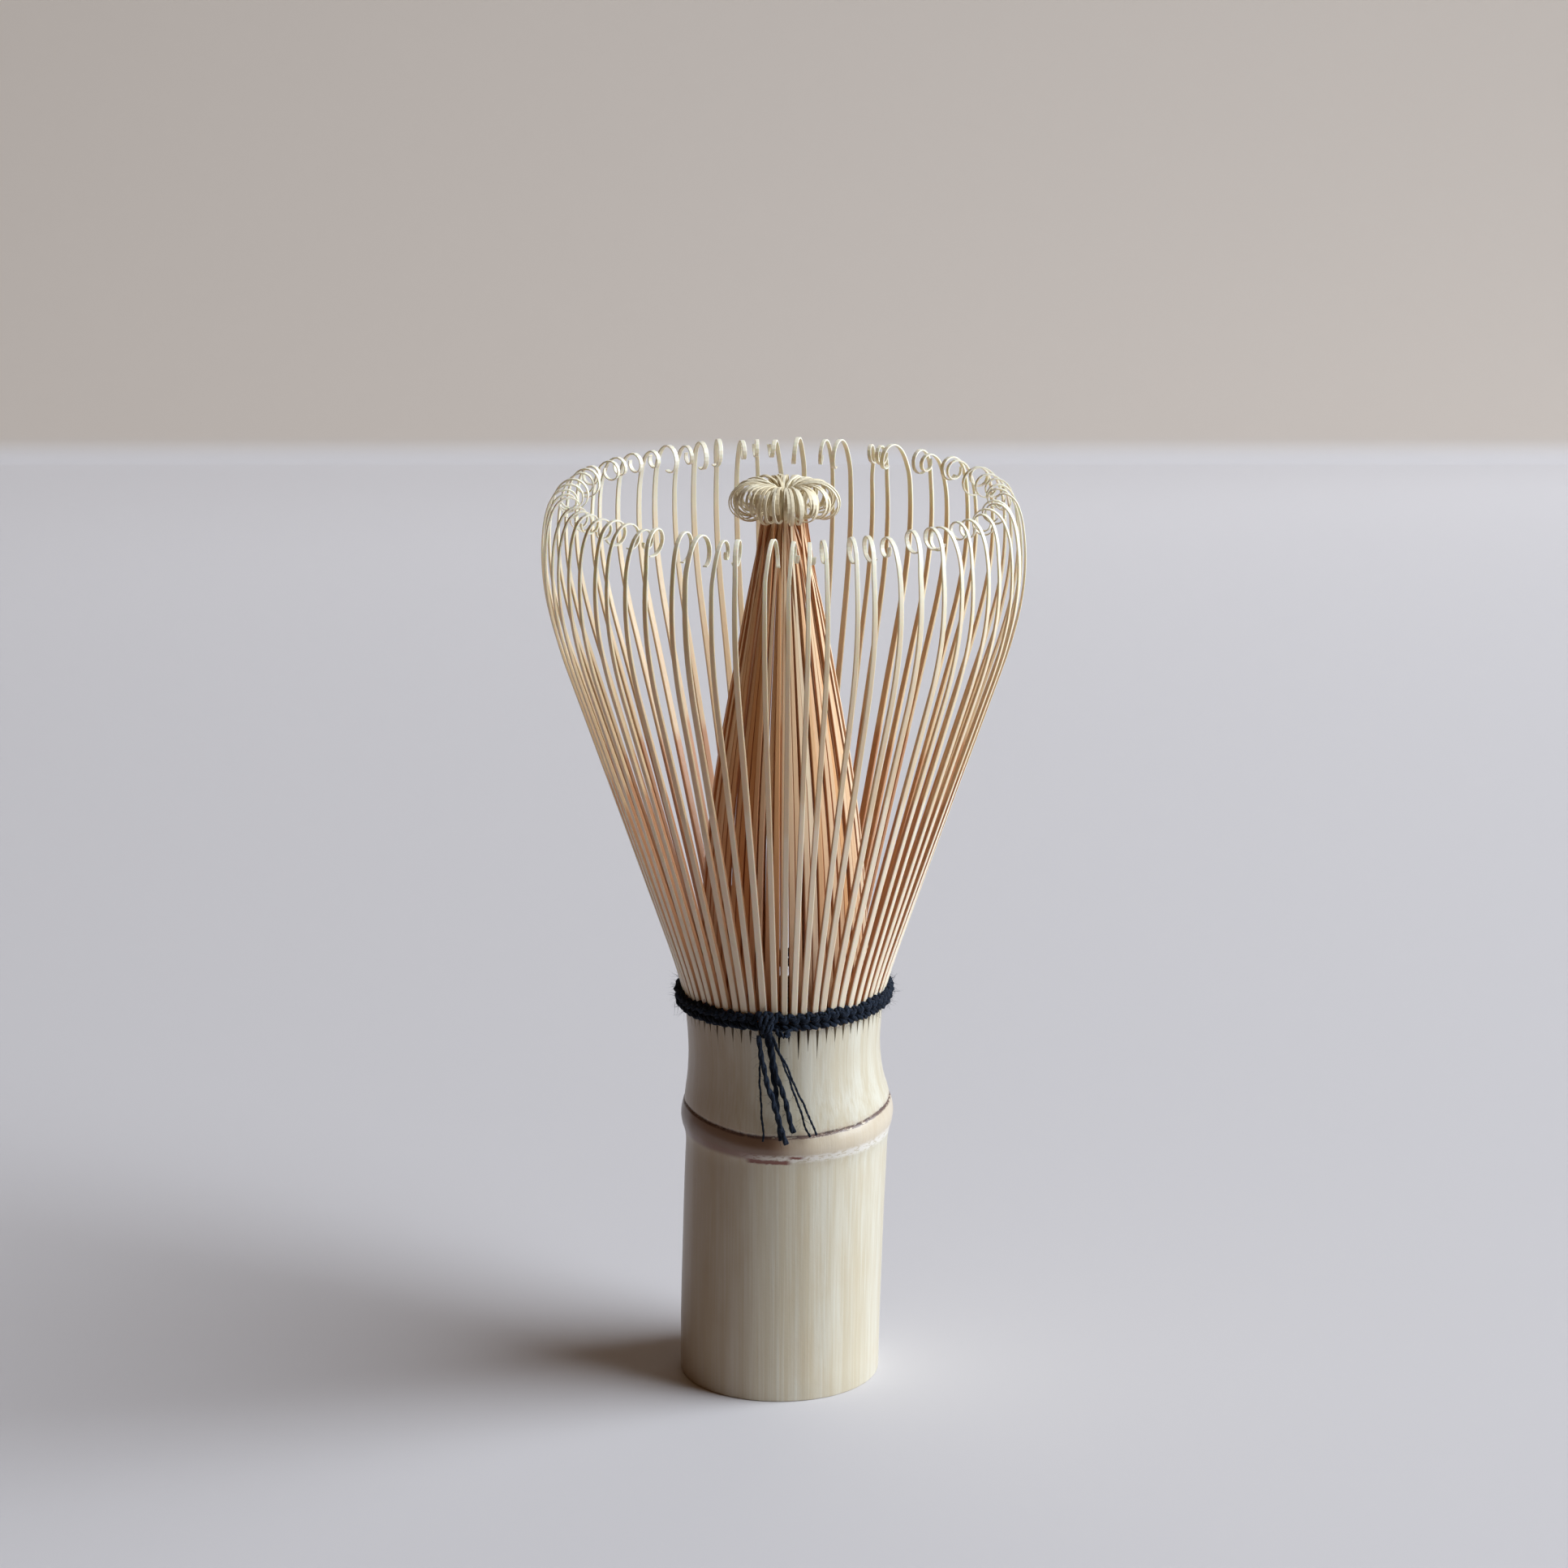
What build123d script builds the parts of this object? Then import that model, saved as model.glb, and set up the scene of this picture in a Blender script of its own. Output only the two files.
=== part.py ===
"""A bamboo tea whisk (chasen): one culm, split above its node into two rings of sprung tines.

The outer tines flare into a bell and curl inwards at their tips. The inner tines lean together
into a cone and curl outwards into a round knob. A dark cotton thread is woven round the roots,
outside and between the two rings, and its ends hang from a knot at the front.

Frame: millimetres, +Z up, the whisk's main axis on Z, its foot on Z = 0, the knot towards -Y.
Each tine is drawn side-on as a chain of short arcs, then narrowed by a front-on taper.
"""
import os
from math import cos, pi, radians, sin, tan

from build123d import *

# The culm, from the foot up. Radii are of its outside.
FOOT_RADIUS = 12.5
FOOT_LEAN = 0.55            # the lower internode grew this far to -X of the main axis at the foot
FOOT_CHAMFER = 0.3
LEAN_TOP_Z = 28.0           # above this the culm is round about the main axis
LEAN_TOP_RADIUS = 12.6
RIDGE_Z = 33.7              # crest of the ring that the node makes
RIDGE_RADIUS = 13.15
RIDGE_RUN_IN = 2.3          # the ridge starts to swell this far below its crest
SCAR_RISE = 1.1             # the sheath scar is a small step in, this far above the crest
SCAR_STEP = 0.2
SHOULDER_LINE = [(12.5, 37.1), (12.0, 40.4)]    # (radius, height) on the way up to the waist
WAIST_Z = 43.0
WAIST_RADIUS = 11.9
COLLAR_TOP_Z = 48.5         # the wall is split into tines from here
COLLAR_TOP_RADIUS = 12.2
COLLAR_HOLLOW_RADIUS = 9.4
BORE_RADIUS = 7.4           # the lower internode's own hollow, open at the foot
BORE_DEPTH = 30.5
DIAPHRAGM = 3.0             # the node's wall across the hollow

# The tines. The culm is split into 16, and each split into 4 outer and 4 inner tines.
RIBS = 16
TINES_PER_RIB = 4
TINES = RIBS * TINES_PER_RIB
TINE_STEP = 360 / TINES
ROOT_GAP = 0.1              # clearance under the sprung outer tines
KERF_WIDTH = 0.34
KERF_DEPTH = 2.6

# A tine's outer face side-on: where it starts (radius, height), its lean from upright there,
# and then runs of (length, lean at the run's end). A lean is in degrees, outwards positive.
OUTER_ROOT = (12.25, COLLAR_TOP_Z + ROOT_GAP)
OUTER_ROOT_LEAN = 12.0
OUTER_RUNS = [
    (4.0, 16.5), (5.0, 18.6), (37.8, 19.1),                       # the straight flare
    (7.0, 12.0), (5.2, 0.0), (4.0, -10.0), (3.2, -24.0),          # the shoulder
    (2.4, -58.0), (2.3, -125.0), (2.3, -200.0), (2.0, -275.0),    # the curl
]
OUTER_THICKNESS = (0.75, 0.18)                                    # root, tip
# A tine's width seen from the front, at each height.
OUTER_WIDTHS = [(48.0, 0.88), (62.0, 0.72), (90.0, 0.58), (104.0, 0.48), (116.0, 0.44)]

INNER_ROOT = (10.6, COLLAR_TOP_Z)
INNER_ROOT_LEAN = -1.0
INNER_CONE_RUNS = [(14.5, -3.5), (9.5, -7.0), (10.5, -10.4), (14.5, -10.9)]
INNER_NECK_RUN = 12.2
INNER_TURN_RUN = (1.5, 65.0)                                      # out of the bundle
INNER_OVER_LEAN = 100.0
INNER_CURL_RUNS = [(2.5, 175.0), (2.2, 250.0), (1.0, 285.0)]      # down and under
# Within a rib the tines gather in layers, so that the knob closes in the middle. For each tine:
# its lean at the neck's top, then the lengths of its upright bend and of its run over the knob.
INNER_LAYERS = [(-8.0, 3.7, 1.35), (-17.5, 3.8, 2.85), (-13.0, 3.75, 2.15), (-22.0, 3.9, 3.5)]
INNER_THICKNESS = (0.6, 0.16)
INNER_FILL = 0.86           # share of its step round the ring that an inner tine is wide
INNER_CURL_WIDTH = 0.18

# The cotton thread.
THREAD_RADIUS = 0.35
ROW_LOWER = (12.94, 49.35)  # centre of the section: radius, height
ROW_UPPER = (13.25, 50.45)
ROW_INNER = (11.05, 49.9)
ROW_INNER_RADIUS = 0.28
KNOT_SIZE = (1.9, 1.0, 1.9)
KNOT_CENTRE = (-2.2, -14.1, 49.6)
KNOT_FILLET = 0.4
TAIL_RADIUS_PLY = 0.26
TAIL_RADIUS_STRAND = 0.14
# The points that each tail hangs through. The plies of the thread's end have come apart.
TAILS = [
    [(-2.85, -13.8, 48.6), (-3.0, -13.75, 44.0), (-2.8, -13.7, 39.5), (-2.5, -13.72, 34.8)],
    [(-2.5, -14.3, 48.6), (-2.1, -14.6, 44.5), (-1.1, -14.7, 40.0), (-0.2, -14.6, 34.8)],
    [(-2.1, -13.85, 48.6), (-1.5, -13.8, 45.0), (-1.0, -13.75, 40.5), (-0.7, -13.75, 36.2)],
    [(-1.65, -14.35, 48.6), (-0.8, -14.2, 43.5), (0.4, -13.95, 39.0), (1.2, -13.8, 36.0)],
    [(-1.55, -13.8, 48.6), (0.1, -13.45, 44.2), (1.6, -13.35, 39.8), (3.15, -13.55, 35.3)],
    [(-1.38, -14.5, 48.6), (0.6, -14.2, 44.0), (2.5, -13.9, 39.5), (4.05, -13.6, 35.6)],
]
PLY_TAILS = (2, 3, 4)       # these are whole plies, and the others are single strands

os.makedirs("parts", exist_ok=True)


def write(solid, name):
    """Label a finished piece and write it as its own node."""
    solid.label = name
    export_step(solid, f"parts/{name}.step")


def stations(root, lean, runs):
    """Follow a face from its root: (radius, height, lean, distance) at every half run."""
    radius, height = root
    distance = 0.0
    found = [(radius, height, lean, distance)]
    for length, end_lean in runs:
        half_turn = (end_lean - lean) / 2
        for _ in range(2):
            middle = radians(lean + half_turn / 2)
            quarter = radians(half_turn) / 2
            chord = length / 2 * sin(quarter) / quarter
            radius += chord * sin(middle)
            height += chord * cos(middle)
            lean += half_turn
            distance += length / 2
            found.append((radius, height, lean, distance))
    return found


def face_points(found, thickness):
    """The outer face's points and the inner face's, a tapering thickness behind them."""
    root_thickness, tip_thickness = thickness
    whole = found[-1][3]
    outer = [(radius, height) for radius, height, _, _ in found]
    inner = []
    for radius, height, lean, distance in found:
        depth = root_thickness + (tip_thickness - root_thickness) * distance / whole
        inner.append((radius - depth * cos(radians(lean)), height + depth * sin(radians(lean))))
    return outer, inner


def draw_side(root, lean, runs, thickness):
    """Draw a tine's side-on outline in the line builder that is open."""
    outer, inner = face_points(stations(root, lean, runs), thickness)
    for face in (outer, inner):
        for first in range(0, len(face) - 1, 2):
            ThreePointArc(*face[first:first + 3])
    Line(outer[0], inner[0])
    Line(outer[-1], inner[-1])


def draw_front(widths):
    """Draw a tine's front-on outline in the line builder that is open."""
    right = [(width / 2, height) for height, width in widths]
    left = [(-across, height) for across, height in reversed(right)]
    Polyline(*right, *left, close=True)


def corner_radii(points):
    """The largest arcs that a route's corners have room for."""
    radii = []
    for before, corner, after in zip(points, points[1:], points[2:]):
        arriving = Vector(corner) - Vector(before)
        leaving = Vector(after) - Vector(corner)
        shorter = min(arriving.length, leaving.length)
        radii.append(0.45 * shorter / tan(radians(arriving.get_angle(leaving)) / 2))
    return radii


# The culm: handle, node and collar in one piece of bamboo, with a kerf between every two tines.
with BuildPart() as handle_culm:
    with BuildSketch(Plane.XY):
        with Locations((-FOOT_LEAN, 0)):
            Circle(FOOT_RADIUS)
    with BuildSketch(Plane.XY.offset(LEAN_TOP_Z)):
        Circle(LEAN_TOP_RADIUS)
    loft(ruled=True)
    foot_edge = handle_culm.edges().filter_by(GeomType.CIRCLE).sort_by(Axis.Z)[0]
    chamfer(foot_edge, FOOT_CHAMFER)
    with BuildSketch(Plane.XZ):
        with BuildLine():
            below_scar = (RIDGE_RADIUS - SCAR_STEP, RIDGE_Z + SCAR_RISE)
            above_scar = (RIDGE_RADIUS - 2 * SCAR_STEP, RIDGE_Z + SCAR_RISE + SCAR_STEP / 2)
            Polyline((0, COLLAR_TOP_Z), (0, LEAN_TOP_Z), (LEAN_TOP_RADIUS, LEAN_TOP_Z))
            Spline(
                (LEAN_TOP_RADIUS, LEAN_TOP_Z),
                (LEAN_TOP_RADIUS + 0.1, RIDGE_Z - RIDGE_RUN_IN),
                (RIDGE_RADIUS, RIDGE_Z),
                below_scar,
                tangents=[(0, 1), (-0.7, 1)],
            )
            Line(below_scar, above_scar)
            Spline(
                above_scar,
                *SHOULDER_LINE,
                (WAIST_RADIUS, WAIST_Z),
                (COLLAR_TOP_RADIUS, COLLAR_TOP_Z),
                tangents=[(-0.05, 1), (0.12, 1)],
            )
            Line((COLLAR_TOP_RADIUS, COLLAR_TOP_Z), (0, COLLAR_TOP_Z))
        make_face()
    revolve(axis=Axis.Z)
    with BuildSketch(Plane.XY):
        with Locations((-FOOT_LEAN / 2, 0)):
            Circle(BORE_RADIUS)
    extrude(amount=BORE_DEPTH, mode=Mode.SUBTRACT)
    with BuildSketch(Plane.XY.offset(BORE_DEPTH + DIAPHRAGM)):
        Circle(COLLAR_HOLLOW_RADIUS)
    extrude(amount=COLLAR_TOP_Z - BORE_DEPTH - DIAPHRAGM, mode=Mode.SUBTRACT)
    with BuildPart(mode=Mode.PRIVATE) as kerf:
        with BuildSketch(Plane.YZ.offset(COLLAR_HOLLOW_RADIUS - 0.5)):
            with BuildLine():
                Polyline(
                    (-KERF_WIDTH / 2, COLLAR_TOP_Z + 1),
                    (KERF_WIDTH / 2, COLLAR_TOP_Z + 1),
                    (KERF_WIDTH / 2, COLLAR_TOP_Z),
                    (0, COLLAR_TOP_Z - KERF_DEPTH),
                    (-KERF_WIDTH / 2, COLLAR_TOP_Z),
                    close=True,
                )
            make_face()
        extrude(amount=COLLAR_TOP_RADIUS - COLLAR_HOLLOW_RADIUS + 1)
    with PolarLocations(0, TINES, start_angle=TINE_STEP / 2):
        add(kerf.part, mode=Mode.SUBTRACT)
write(handle_culm.part, "handle_culm")

# The outer tines, four to a rib.
with BuildPart() as outer_tine:
    with BuildSketch(Plane.XZ):
        with BuildLine():
            draw_side(OUTER_ROOT, OUTER_ROOT_LEAN, OUTER_RUNS, OUTER_THICKNESS)
        make_face()
    extrude(amount=1, both=True)
    with BuildSketch(Plane.YZ):
        with BuildLine():
            draw_front(OUTER_WIDTHS)
        make_face()
    extrude(amount=40, mode=Mode.INTERSECT)

# The inner tines fill their ring evenly all the way up the cone, so their width follows its
# radius. Each layer of a rib gathers to its own radius at the neck.
cone_line = stations(INNER_ROOT, INNER_ROOT_LEAN, INNER_CONE_RUNS)
inner_widths = [
    (height, 2 * pi * (radius - INNER_THICKNESS[0]) / TINES * INNER_FILL)
    for radius, height, _, _ in cone_line[::2]
]
inner_widths[0] = (COLLAR_TOP_Z - 1, inner_widths[0][1])
neck_height = cone_line[-1][1] + INNER_NECK_RUN
inner_widths += [(neck_height, INNER_CURL_WIDTH), (neck_height + 10, INNER_CURL_WIDTH)]
inner_tines = []
for neck_lean, bend_length, over_length in INNER_LAYERS:
    top_runs = [
        (INNER_NECK_RUN, neck_lean),
        (bend_length, 0.0),
        INNER_TURN_RUN,
        (over_length, INNER_OVER_LEAN),
    ]
    with BuildPart() as inner_tine:
        with BuildSketch(Plane.XZ):
            with BuildLine():
                inner_runs = INNER_CONE_RUNS + top_runs + INNER_CURL_RUNS
                draw_side(INNER_ROOT, INNER_ROOT_LEAN, inner_runs, INNER_THICKNESS)
            make_face()
        extrude(amount=1, both=True)
        with BuildSketch(Plane.YZ):
            with BuildLine():
                draw_front(inner_widths)
            make_face()
        extrude(amount=40, mode=Mode.INTERSECT)
    inner_tines.append(inner_tine.part)

for rib in range(RIBS):
    angles = [(rib * TINES_PER_RIB + number) * TINE_STEP for number in range(TINES_PER_RIB)]
    with BuildPart() as outer_rib:
        for angle in angles:
            add(outer_tine.part, rotation=(0, 0, angle))
    write(outer_rib.part, f"outer_rib_{rib + 1:02d}")
    with BuildPart() as inner_rib:
        for angle, tine in zip(angles, inner_tines):
            add(tine, rotation=(0, 0, angle))
    write(inner_rib.part, f"inner_rib_{rib + 1:02d}")

# The thread's rows: two outside the outer tines, and one between the two rings.
thread_rows = (
    ("thread_row_lower", ROW_LOWER, THREAD_RADIUS),
    ("thread_row_upper", ROW_UPPER, THREAD_RADIUS),
    ("thread_row_inner", ROW_INNER, ROW_INNER_RADIUS),
)
for name, centre, section_radius in thread_rows:
    with BuildPart() as thread_row:
        with BuildSketch(Plane.XZ):
            with Locations(centre):
                Circle(section_radius)
        revolve(axis=Axis.Z)
    write(thread_row.part, name)

with BuildPart() as thread_knot:
    with Locations(KNOT_CENTRE):
        Box(*KNOT_SIZE)
    fillet(thread_knot.edges(), KNOT_FILLET)
write(thread_knot.part, "thread_knot")

# The thread's cut ends, hanging down the front of the collar.
for number, route in enumerate(TAILS, 1):
    section_radius = TAIL_RADIUS_PLY if number in PLY_TAILS else TAIL_RADIUS_STRAND
    radii = corner_radii(route)
    print(f"thread_tail_{number} bend radii", [round(radius, 1) for radius in radii])
    with BuildPart() as thread_tail:
        with BuildLine() as path:
            FilletPolyline(*route, radius=radii)
        with BuildSketch(Plane(path.line @ 0, z_dir=path.line % 0)):
            Circle(section_radius)
        sweep()
    print(f"thread_tail_{number} length", round(path.wires()[0].length, 2))
    write(thread_tail.part, f"thread_tail_{number}")
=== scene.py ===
"""A bamboo tea whisk (chasen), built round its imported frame: the culm that is the handle, the
bell of outer tines, the gathered inner bundle, and the dark thread woven round their roots.
Lengths are in metres and angles in degrees unless a name says otherwise."""
from math import atan2, cos, exp, pi, radians, sin

import bpy
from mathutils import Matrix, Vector, noise


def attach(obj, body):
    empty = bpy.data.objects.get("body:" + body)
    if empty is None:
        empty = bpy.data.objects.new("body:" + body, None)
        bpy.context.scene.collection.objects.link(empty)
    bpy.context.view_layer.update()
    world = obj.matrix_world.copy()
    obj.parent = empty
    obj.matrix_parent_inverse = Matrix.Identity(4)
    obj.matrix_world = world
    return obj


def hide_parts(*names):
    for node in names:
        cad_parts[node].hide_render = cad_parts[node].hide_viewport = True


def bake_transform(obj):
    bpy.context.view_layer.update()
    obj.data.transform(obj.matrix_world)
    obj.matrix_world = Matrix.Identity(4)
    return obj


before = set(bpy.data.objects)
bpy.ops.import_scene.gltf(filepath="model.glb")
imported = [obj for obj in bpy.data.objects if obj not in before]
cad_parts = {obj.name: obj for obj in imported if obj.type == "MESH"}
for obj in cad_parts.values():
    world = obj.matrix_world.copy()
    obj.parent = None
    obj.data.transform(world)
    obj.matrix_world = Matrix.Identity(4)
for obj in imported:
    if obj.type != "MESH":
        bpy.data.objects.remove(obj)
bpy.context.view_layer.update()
scene = bpy.context.scene

# ---------------------------------------------------------------------------------------------
# The table, the wall behind it and the light. A pale birch table top sweeps up into a warm grey
# wall, and one big soft window stands to the right. None of it belongs to the whisk.

TABLE_COLOUR = (0.63, 0.605, 0.61)
WALL_COLOUR = (0.71, 0.635, 0.56)
TABLE_HALF_WIDTH = 0.32
TABLE_FRONT = -0.13
COVE_START = 0.52
COVE_RADIUS = 0.005
WALL_HEIGHT = 0.6
COVE_STEPS = 24
WALL_COLOUR_FROM = 0.006

sweep_line = [(TABLE_FRONT, 0.0)]
for step in range(COVE_STEPS + 1):
    turn = pi / 2 * step / COVE_STEPS
    sweep_line.append((COVE_START + COVE_RADIUS * sin(turn), COVE_RADIUS * (1 - cos(turn))))
sweep_line.append((COVE_START + COVE_RADIUS, WALL_HEIGHT))
table_mesh = bpy.data.meshes.new("table")
table_points = []
for depth, height in sweep_line:
    table_points += [(-TABLE_HALF_WIDTH, depth, height), (TABLE_HALF_WIDTH, depth, height)]
table_faces = [(2 * i, 2 * i + 1, 2 * i + 3, 2 * i + 2) for i in range(len(sweep_line) - 1)]
table_mesh.from_pydata(table_points, [], table_faces)
table_mesh.shade_smooth()
table = bpy.data.objects.new("table", table_mesh)
scene.collection.objects.link(table)


class Value:
    """A number in a node tree that adds, multiplies and compares like a plain one."""

    def __init__(self, tree, socket):
        self.tree = tree
        self.socket = socket

    def math(self, operation, *others, clamp=False):
        node = self.tree.nodes.new("ShaderNodeMath")
        node.operation = operation
        node.use_clamp = clamp
        for slot, value in zip(node.inputs, (self, *others)):
            if isinstance(value, Value):
                self.tree.links.new(value.socket, slot)
            else:
                slot.default_value = value
        return Value(self.tree, node.outputs[0])

    def __add__(self, other):
        return self.math("ADD", other)

    def __sub__(self, other):
        return self.math("SUBTRACT", other)

    def __mul__(self, other):
        return self.math("MULTIPLY", other)

    def __truediv__(self, other):
        return self.math("DIVIDE", other)

    def __pow__(self, other):
        return self.math("POWER", other)

    __radd__ = __add__
    __rmul__ = __mul__

    def __rsub__(self, other):
        return (self * -1) + other


def put(tree, kind, inputs=None, **settings):
    """A new node with its settings and its inputs, which may be sockets, Values or plain values."""
    node = tree.nodes.new(kind)
    for key, value in settings.items():
        setattr(node, key, value)
    for key, value in (inputs or {}).items():
        if isinstance(value, Value):
            value = value.socket
        if isinstance(value, bpy.types.NodeSocket):
            tree.links.new(value, node.inputs[key])
        else:
            node.inputs[key].default_value = value
    return node


def new_finish(name, roughness):
    """A material with its tree and its shader, at one roughness."""
    finish = bpy.data.materials.new(name)
    finish.use_nodes = True
    shader = finish.node_tree.nodes["Principled BSDF"]
    shader.inputs["Roughness"].default_value = roughness
    return finish, finish.node_tree, shader


def between(value, low, high):
    """0 where value is under low, 1 where it is over high, eased between."""
    node = put(value.tree, "ShaderNodeMapRange", {
        "Value": value, "From Min": low, "From Max": high,
    }, interpolation_type="SMOOTHSTEP")
    return Value(value.tree, node.outputs["Result"])


def mixed(tree, share, first, second):
    """Two colours mixed by share, each a plain colour or another mix's output."""
    node = put(tree, "ShaderNodeMix", {"Factor": share}, data_type="RGBA")
    for slot, colour in ((6, first), (7, second)):
        if isinstance(colour, bpy.types.NodeSocket):
            tree.links.new(colour, node.inputs[slot])
        else:
            node.inputs[slot].default_value = (*colour, 1)
    return node.outputs[2]


table_finish, tree, shader = new_finish("table_top", 0.7)
place = put(tree, "ShaderNodeTexCoord").outputs["Object"]
rise = Value(tree, put(tree, "ShaderNodeSeparateXYZ", {0: place}).outputs["Z"])
colour = mixed(tree, between(rise, 0.0, WALL_COLOUR_FROM), TABLE_COLOUR, WALL_COLOUR)
tree.links.new(colour, shader.inputs["Base Color"])
table_mesh.materials.append(table_finish)

CAMERA_DISTANCE = 0.6408
CAMERA_HEIGHT = 0.2596
CAMERA_PITCH = 15.958
LENS = 124.74

camera_data = bpy.data.cameras.new("camera")
camera_data.lens = LENS
camera_data.sensor_width = 36.0
camera = bpy.data.objects.new("camera", camera_data)
camera.location = (0.0, -CAMERA_DISTANCE, CAMERA_HEIGHT)
camera.rotation_euler = (radians(90 - CAMERA_PITCH), 0.0, 0.0)
scene.collection.objects.link(camera)
scene.camera = camera


def soft_light(name, place, target, size, power, colour):
    """A square area light at place, facing target."""
    data = bpy.data.lights.new(name, "AREA")
    data.shape = "SQUARE"
    data.size = size
    data.energy = power
    data.color = colour
    light = bpy.data.objects.new(name, data)
    light.location = place
    light.rotation_euler = (Vector(target) - Vector(place)).to_track_quat("-Z", "Y").to_euler()
    scene.collection.objects.link(light)


WINDOW_PLACE = (2.2, -0.28, 1.42)
WINDOW_TARGET = (0.0, 0.1, 0.05)
WINDOW_SIZE = 2.3
WINDOW_POWER = 141.0
WINDOW_COLOUR = (0.87, 0.955, 1.05)
soft_light("window", WINDOW_PLACE, WINDOW_TARGET, WINDOW_SIZE, WINDOW_POWER, WINDOW_COLOUR)

# The room's own light is low and warm. Past the table's edges the backdrop is as pale as the wall.
ROOM_COLOUR = (1.0, 0.56, 0.26)
ROOM_STRENGTH = 0.085
BACKDROP_COLOUR = (0.47, 0.44, 0.415)
world = bpy.data.worlds.new("room")
world.use_nodes = True
tree = world.node_tree
room_light = tree.nodes["Background"]
room_light.inputs["Color"].default_value = (*ROOM_COLOUR, 1)
room_light.inputs["Strength"].default_value = ROOM_STRENGTH
backdrop = put(tree, "ShaderNodeBackground", {"Color": (*BACKDROP_COLOUR, 1)})
seen_directly = put(tree, "ShaderNodeLightPath").outputs["Is Camera Ray"]
either = put(tree, "ShaderNodeMixShader", {
    0: seen_directly, 1: room_light.outputs[0], 2: backdrop.outputs[0],
})
tree.links.new(either.outputs[0], tree.nodes["World Output"].inputs["Surface"])
scene.world = world
scene.view_settings.view_transform = "Standard"

# ---------------------------------------------------------------------------------------------
# The culm: one length of dried bamboo that is the handle, with its node a third of the way up.
# It is turned here as a lathe line from the foot to the split collar, its scar a little askew,
# with a kerf between every two tines where the knife stopped.

MM = 0.001


def stored(tree, name):
    """A number kept on the mesh, read in its material."""
    node = put(tree, "ShaderNodeAttribute", attribute_name=name)
    return Value(tree, node.outputs["Fac"])


def noise_at(tree, place, scale, detail=3.0, roughness=0.55):
    """Smooth noise from 0 to 1 at a place, at one scale."""
    node = put(tree, "ShaderNodeTexNoise", {
        "Vector": place, "Scale": scale, "Detail": detail, "Roughness": roughness,
    })
    return Value(tree, node.outputs[0])


def stretched(tree, place, factors):
    """A place with each axis multiplied by its factor."""
    node = put(tree, "ShaderNodeMapping", {"Vector": place, "Scale": factors})
    return node.outputs[0]


def fibre_group():
    """Bamboo's fibres: long pale and dark streaks along the third axis of the place given."""
    tree = bpy.data.node_groups.new("bamboo fibres", "ShaderNodeTree")
    tree.interface.new_socket("Place", in_out="INPUT", socket_type="NodeSocketVector")
    tree.interface.new_socket("Streak", in_out="OUTPUT", socket_type="NodeSocketFloat")
    tree.interface.new_socket("Height", in_out="OUTPUT", socket_type="NodeSocketFloat")
    place = tree.nodes.new("NodeGroupInput").outputs["Place"]
    wide = noise_at(tree, stretched(tree, place, (0.5, 0.5, 0.018)), 1.0, 2.0)
    narrow = noise_at(tree, stretched(tree, place, (3.2, 3.2, 0.05)), 1.0, 3.0)
    result = tree.nodes.new("NodeGroupOutput")
    tree.links.new((wide * 0.55 + narrow * 0.45).socket, result.inputs["Streak"])
    tree.links.new(narrow.socket, result.inputs["Height"])
    return tree


fibres = fibre_group()


def add_fibres(tree, place):
    """The fibre group's streak and height at a place in millimetres."""
    node = tree.nodes.new("ShaderNodeGroup")
    node.node_tree = fibres
    tree.links.new(place, node.inputs["Place"])
    return Value(tree, node.outputs["Streak"]), Value(tree, node.outputs["Height"])


def raise_surface(tree, shader, height, distance, strength):
    """Bump the shader by a height."""
    node = put(tree, "ShaderNodeBump", {
        "Height": height, "Distance": distance, "Strength": strength,
    })
    tree.links.new(node.outputs[0], shader.inputs["Normal"])


TINES = 64
COLLAR_TOP = 48.5 * MM
# The outside as (height, radius), in millimetres, from the foot to the scar and on to the collar.
CULM_LINE = [
    (0.0, 12.28), (0.07, 12.42), (0.3, 12.5), (3, 12.51), (7, 12.53), (12, 12.55), (17, 12.55),
    (22, 12.57), (26, 12.6), (28.5, 12.6), (30, 12.59), (30.8, 12.62), (31.5, 12.72), (32.1, 12.88),
    (32.6, 13.08), (33.0, 13.18), (33.4, 13.24), (33.8, 13.22), (34.2, 13.14), (34.6, 13.02),
    (34.85, 12.94), (35.0, 12.9), (35.08, 12.8), (35.14, 12.72), (35.3, 12.76), (35.6, 12.74),
    (36.2, 12.65), (37.0, 12.54), (38.0, 12.36), (39.2, 12.17), (40.6, 12.02), (42.0, 11.92),
    (43.4, 11.9), (44.6, 11.95), (45.6, 12.01), (46.4, 12.07), (47.0, 12.11), (47.5, 12.14),
    (48.0, 12.17), (48.5, 12.2),
]
# How far the culm has grown to the side (+X) at each height, in millimetres.
CULM_BOW = [(0, -0.55), (8, -0.45), (14.4, -0.25), (21, -0.05), (27.4, 0.2), (31.4, 0.38),
            (34.5, 0.38), (37, 0.28), (40.3, 0.1), (43.5, 0.0), (60, 0.0)]


def sideways(height_mm):
    """The culm's shift to the side at this height, in metres."""
    for (low, first), (high, second) in zip(CULM_BOW, CULM_BOW[1:]):
        if height_mm <= high:
            return (first + (second - first) * (height_mm - low) / (high - low)) * MM


def scar_tilt(angle):
    """How far the node's scar stands above its mean height at this angle round the culm."""
    tilt = 0.3 + 0.52 * cos(2 * angle) + 0.15 * cos(angle) + 0.05 * sin(5 * angle + 2.0)
    return (tilt + 0.03 * sin(11 * angle + 1.0)) * MM


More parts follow.
